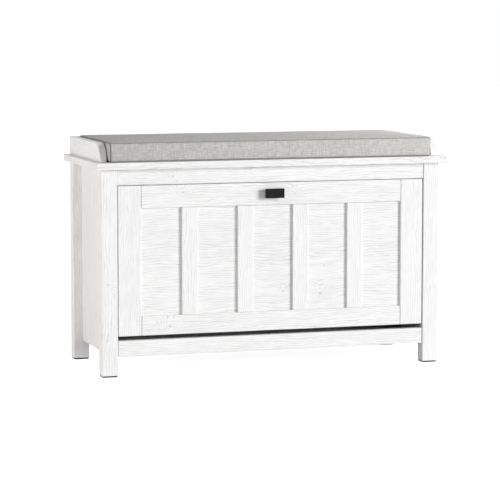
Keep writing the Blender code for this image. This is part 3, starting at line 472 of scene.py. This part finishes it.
def swell(cushion, place, held):
    """Where the cushion's points go when its filling presses them out."""
    group = cushion.vertex_groups.new(name="held")
    group.add(np.flatnonzero(held).tolist(), 1.0, "REPLACE")
    cloth = cushion.modifiers.new("cloth", "CLOTH")
    settings = cloth.settings
    settings.quality = CLOTH_QUALITY
    settings.mass = CLOTH_MASS
    settings.tension_stiffness = CLOTH_STRETCH
    settings.compression_stiffness = CLOTH_STRETCH
    settings.shear_stiffness = CLOTH_SHEAR
    settings.bending_stiffness = CLOTH_BEND
    settings.use_pressure = True
    settings.uniform_pressure_force = CLOTH_PRESSURE
    settings.vertex_group_mass = "held"
    settings.effector_weights.gravity = 0
    cloth.collision_settings.use_collision = False
    cloth.collision_settings.use_self_collision = False
    scene = bpy.context.scene
    cloth.point_cache.frame_start = 1
    cloth.point_cache.frame_end = CLOTH_FRAMES
    for number in range(1, CLOTH_FRAMES + 1):
        scene.frame_set(number)
    depsgraph = bpy.context.evaluated_depsgraph_get()
    blown = np.zeros(place.size)
    cushion.evaluated_get(depsgraph).data.vertices.foreach_get("co", blown)
    cushion.modifiers.remove(cloth)
    cushion.vertex_groups.remove(group)
    scene.frame_set(1)
    shift = blown.reshape(-1, 3) - place
    caps = np.array([CUSHION_BULGE, CUSHION_BULGE, CUSHION_CROWN])
    return place + shift * caps / np.abs(shift).max(0)


def apply_modifiers(item):
    """Replace an object's mesh by what its modifiers make of it."""
    depsgraph = bpy.context.evaluated_depsgraph_get()
    made = bpy.data.meshes.new_from_object(item.evaluated_get(depsgraph))
    item.modifiers.clear()
    old, item.data = item.data, made
    bpy.data.meshes.remove(old)


# Which way the grain runs on each kind of board, which way its width lies, and how bold it is
BOARDS = {
    "leg": ("Z", "X", 0.85),
    "side_panel": ("Z", "Y", 0.9),
    "door_stile": ("Z", "X", 0.85),
    "door_batten": ("Z", "X", 0.85),
    "seat_board": ("X", "Y", 1.0),
    "front": ("X", "Z", 1.0),
    "back_top": ("X", "Z", 1.0),
    "back_bottom": ("X", "Z", 1.0),
    "door_panel": ("X", "Z", 1.1),
    "door_top": ("X", "Z", 1.1),
    "door_bottom": ("X", "Z", 1.1),
    "guard_rail_back": ("X", "Z", 1.0),
    "guard_rail": ("Y", "Z", 0.6),
}
PLAIN_BOARDS = {
    "back_panel": ("X", "Z", 0.5),
    "bottom_panel": ("X", "Y", 0.5),
    "lower_shelf": ("X", "Y", 0.5),
    "upper_shelf": ("X", "Y", 0.5),
}
KNOTS = {
    "door_top_rail": [
        ((-0.2040, -0.139, 0.3961), 6 * MM),
        ((-0.2178, -0.139, 0.3947), 5 * MM),
        ((0.0499, -0.139, 0.3885), 5 * MM),
    ],
    "front_top_rail": [
        ((-0.2364, -0.139, 0.4312), 4 * MM),
        ((-0.2266, -0.139, 0.4310), 8 * MM),
        ((-0.2182, -0.139, 0.4219), 4 * MM),
    ],
    "leg_front_left": [((-0.3724, -0.141, 0.2013), 7 * MM)],
    "door_bottom_rail": [((-0.2346, -0.139, 0.1066), 9 * MM)],
    "door_panel": [
        ((0.1197, -0.133, 0.2247), 5 * MM),
        ((0.1106, -0.133, 0.1649), 12 * MM),
        ((0.0246, -0.133, 0.1726), 7 * MM),
    ],
}
WHITE = grey(0.905)
WHITE_DARK = grey(0.56)
BOARD_WHITE = grey(0.86, 0.01)
BOARD_WHITE_DARK = grey(0.66, 0.02)


# Hardware: tone, roughness, size and depth of the fine grain, gloss and metal
BLACK_METAL = ("satin_black_metal", 0.006, 0.5, 0.5 * MM, 0.02 * MM, 0.12, 0.0)
BLACK_PLASTIC = ("moulded_black_plastic", 0.010, 0.6, 0.7 * MM, 0.03 * MM, 0.15, 0.0)
ZINC = ("zinc_plate", 0.62, 0.32, 1.5 * MM, 0.01 * MM, 0.5, 1.0)


def paint(name, material):
    """Put one material on a CAD node."""
    slots = NODES[name].data.materials
    slots.clear()
    slots.append(material)


def finish_boards():
    """Give each board its own piece of grain."""
    for seed, name in enumerate(sorted(NODES)):
        for table, light, dark in (
            (BOARDS, WHITE, WHITE_DARK),
            (PLAIN_BOARDS, BOARD_WHITE, BOARD_WHITE_DARK),
        ):
            facts = next((facts for start, facts in table.items() if name.startswith(start)), None)
            if facts:
                grain, across, figure = facts
                knots = KNOTS.get(name, ())
                paint(name, wood("grain_" + name, grain, across, seed, light, dark, figure, knots))


def finish_hardware():
    """Satin black on the knob, moulded black on brackets and pads, plated steel on the rest."""
    black_metal, black_plastic, zinc = (moulded(*facts) for facts in (BLACK_METAL, BLACK_PLASTIC, ZINC))
    for name in NODES:
        if name.startswith(("knob_plate", "knob_stem")):
            paint(name, black_metal)
        elif name.startswith(("foot_pad", "drawer_bracket")):
            paint(name, black_plastic)
        elif "screw" in name or name.startswith(("pivot", "stop", "cam")):
            paint(name, zinc)


def make_floor():
    """A white floor that keeps the bench's shadow and blends into the backdrop."""
    mesh = bpy.data.meshes.new("floor")
    reach = FLOOR_SIZE / 2
    corners = [(-reach, -reach), (reach, -reach), (reach, reach), (-reach, reach)]
    mesh.from_pydata([(x, y, -FLOOR_DROP) for x, y in corners], [], [(0, 1, 2, 3)])
    floor = bpy.data.objects.new("floor", mesh)
    bpy.context.scene.collection.objects.link(floor)
    surface = Surface("white_floor", FLOOR_ROUGHNESS, specular=0.0)
    surface.color(grey(FLOOR_WHITE))
    glow = surface.math("MULTIPLY", surface.background_rays(), FLOOR_GLOW)
    surface.shader["Emission Color"].default_value = (1, 1, 1, 1)
    surface.feed(surface.shader["Emission Strength"], glow)
    mesh.materials.append(surface.material)


def make_world():
    """A backdrop that is white to the camera and gives a weak even light."""
    world = bpy.data.worlds.new("studio")
    world.use_nodes = True
    bpy.context.scene.world = world
    graph = Graph(world.node_tree)
    background = world.node_tree.nodes["Background"].inputs
    background["Color"].default_value = (1, 1, 1, 1)
    graph.feed(background["Strength"], graph.ramp(graph.background_rays(), WORLD_FILL, 1.0))


def make_lamp(name, turn, rise, distance, size, power, color):
    """A soft rectangular lamp that faces the bench. Turn 0 is straight in front of it."""
    turn, rise = math.radians(turn), math.radians(rise)
    level = math.cos(rise)
    away = Vector((math.sin(turn) * level, -math.cos(turn) * level, math.sin(rise)))
    data = bpy.data.lights.new(name, "AREA")
    data.shape = "RECTANGLE"
    data.size, data.size_y = size
    data.energy = power
    data.color = color
    lamp = bpy.data.objects.new(name, data)
    lamp.location = LAMP_TARGET + away * distance
    lamp.rotation_euler = away.to_track_quat("Z", "Y").to_euler()
    bpy.context.scene.collection.objects.link(lamp)


def make_camera():
    """The photograph's camera."""
    data = bpy.data.cameras.new("camera")
    data.lens = CAMERA_LENS
    data.sensor_width = CAMERA_SENSOR
    camera = bpy.data.objects.new("camera", data)
    camera.location = CAMERA_PLACE
    camera.rotation_euler = (math.pi / 2 - CAMERA_PITCH, 0, -CAMERA_YAW)
    bpy.context.scene.collection.objects.link(camera)
    bpy.context.scene.camera = camera


make_camera()
make_world()
make_floor()
for lamp, facts in LAMPS.items():
    make_lamp(lamp, **facts)
finish_boards()
finish_hardware()
make_cushion()
bpy.context.scene.view_settings.view_transform = "Standard"
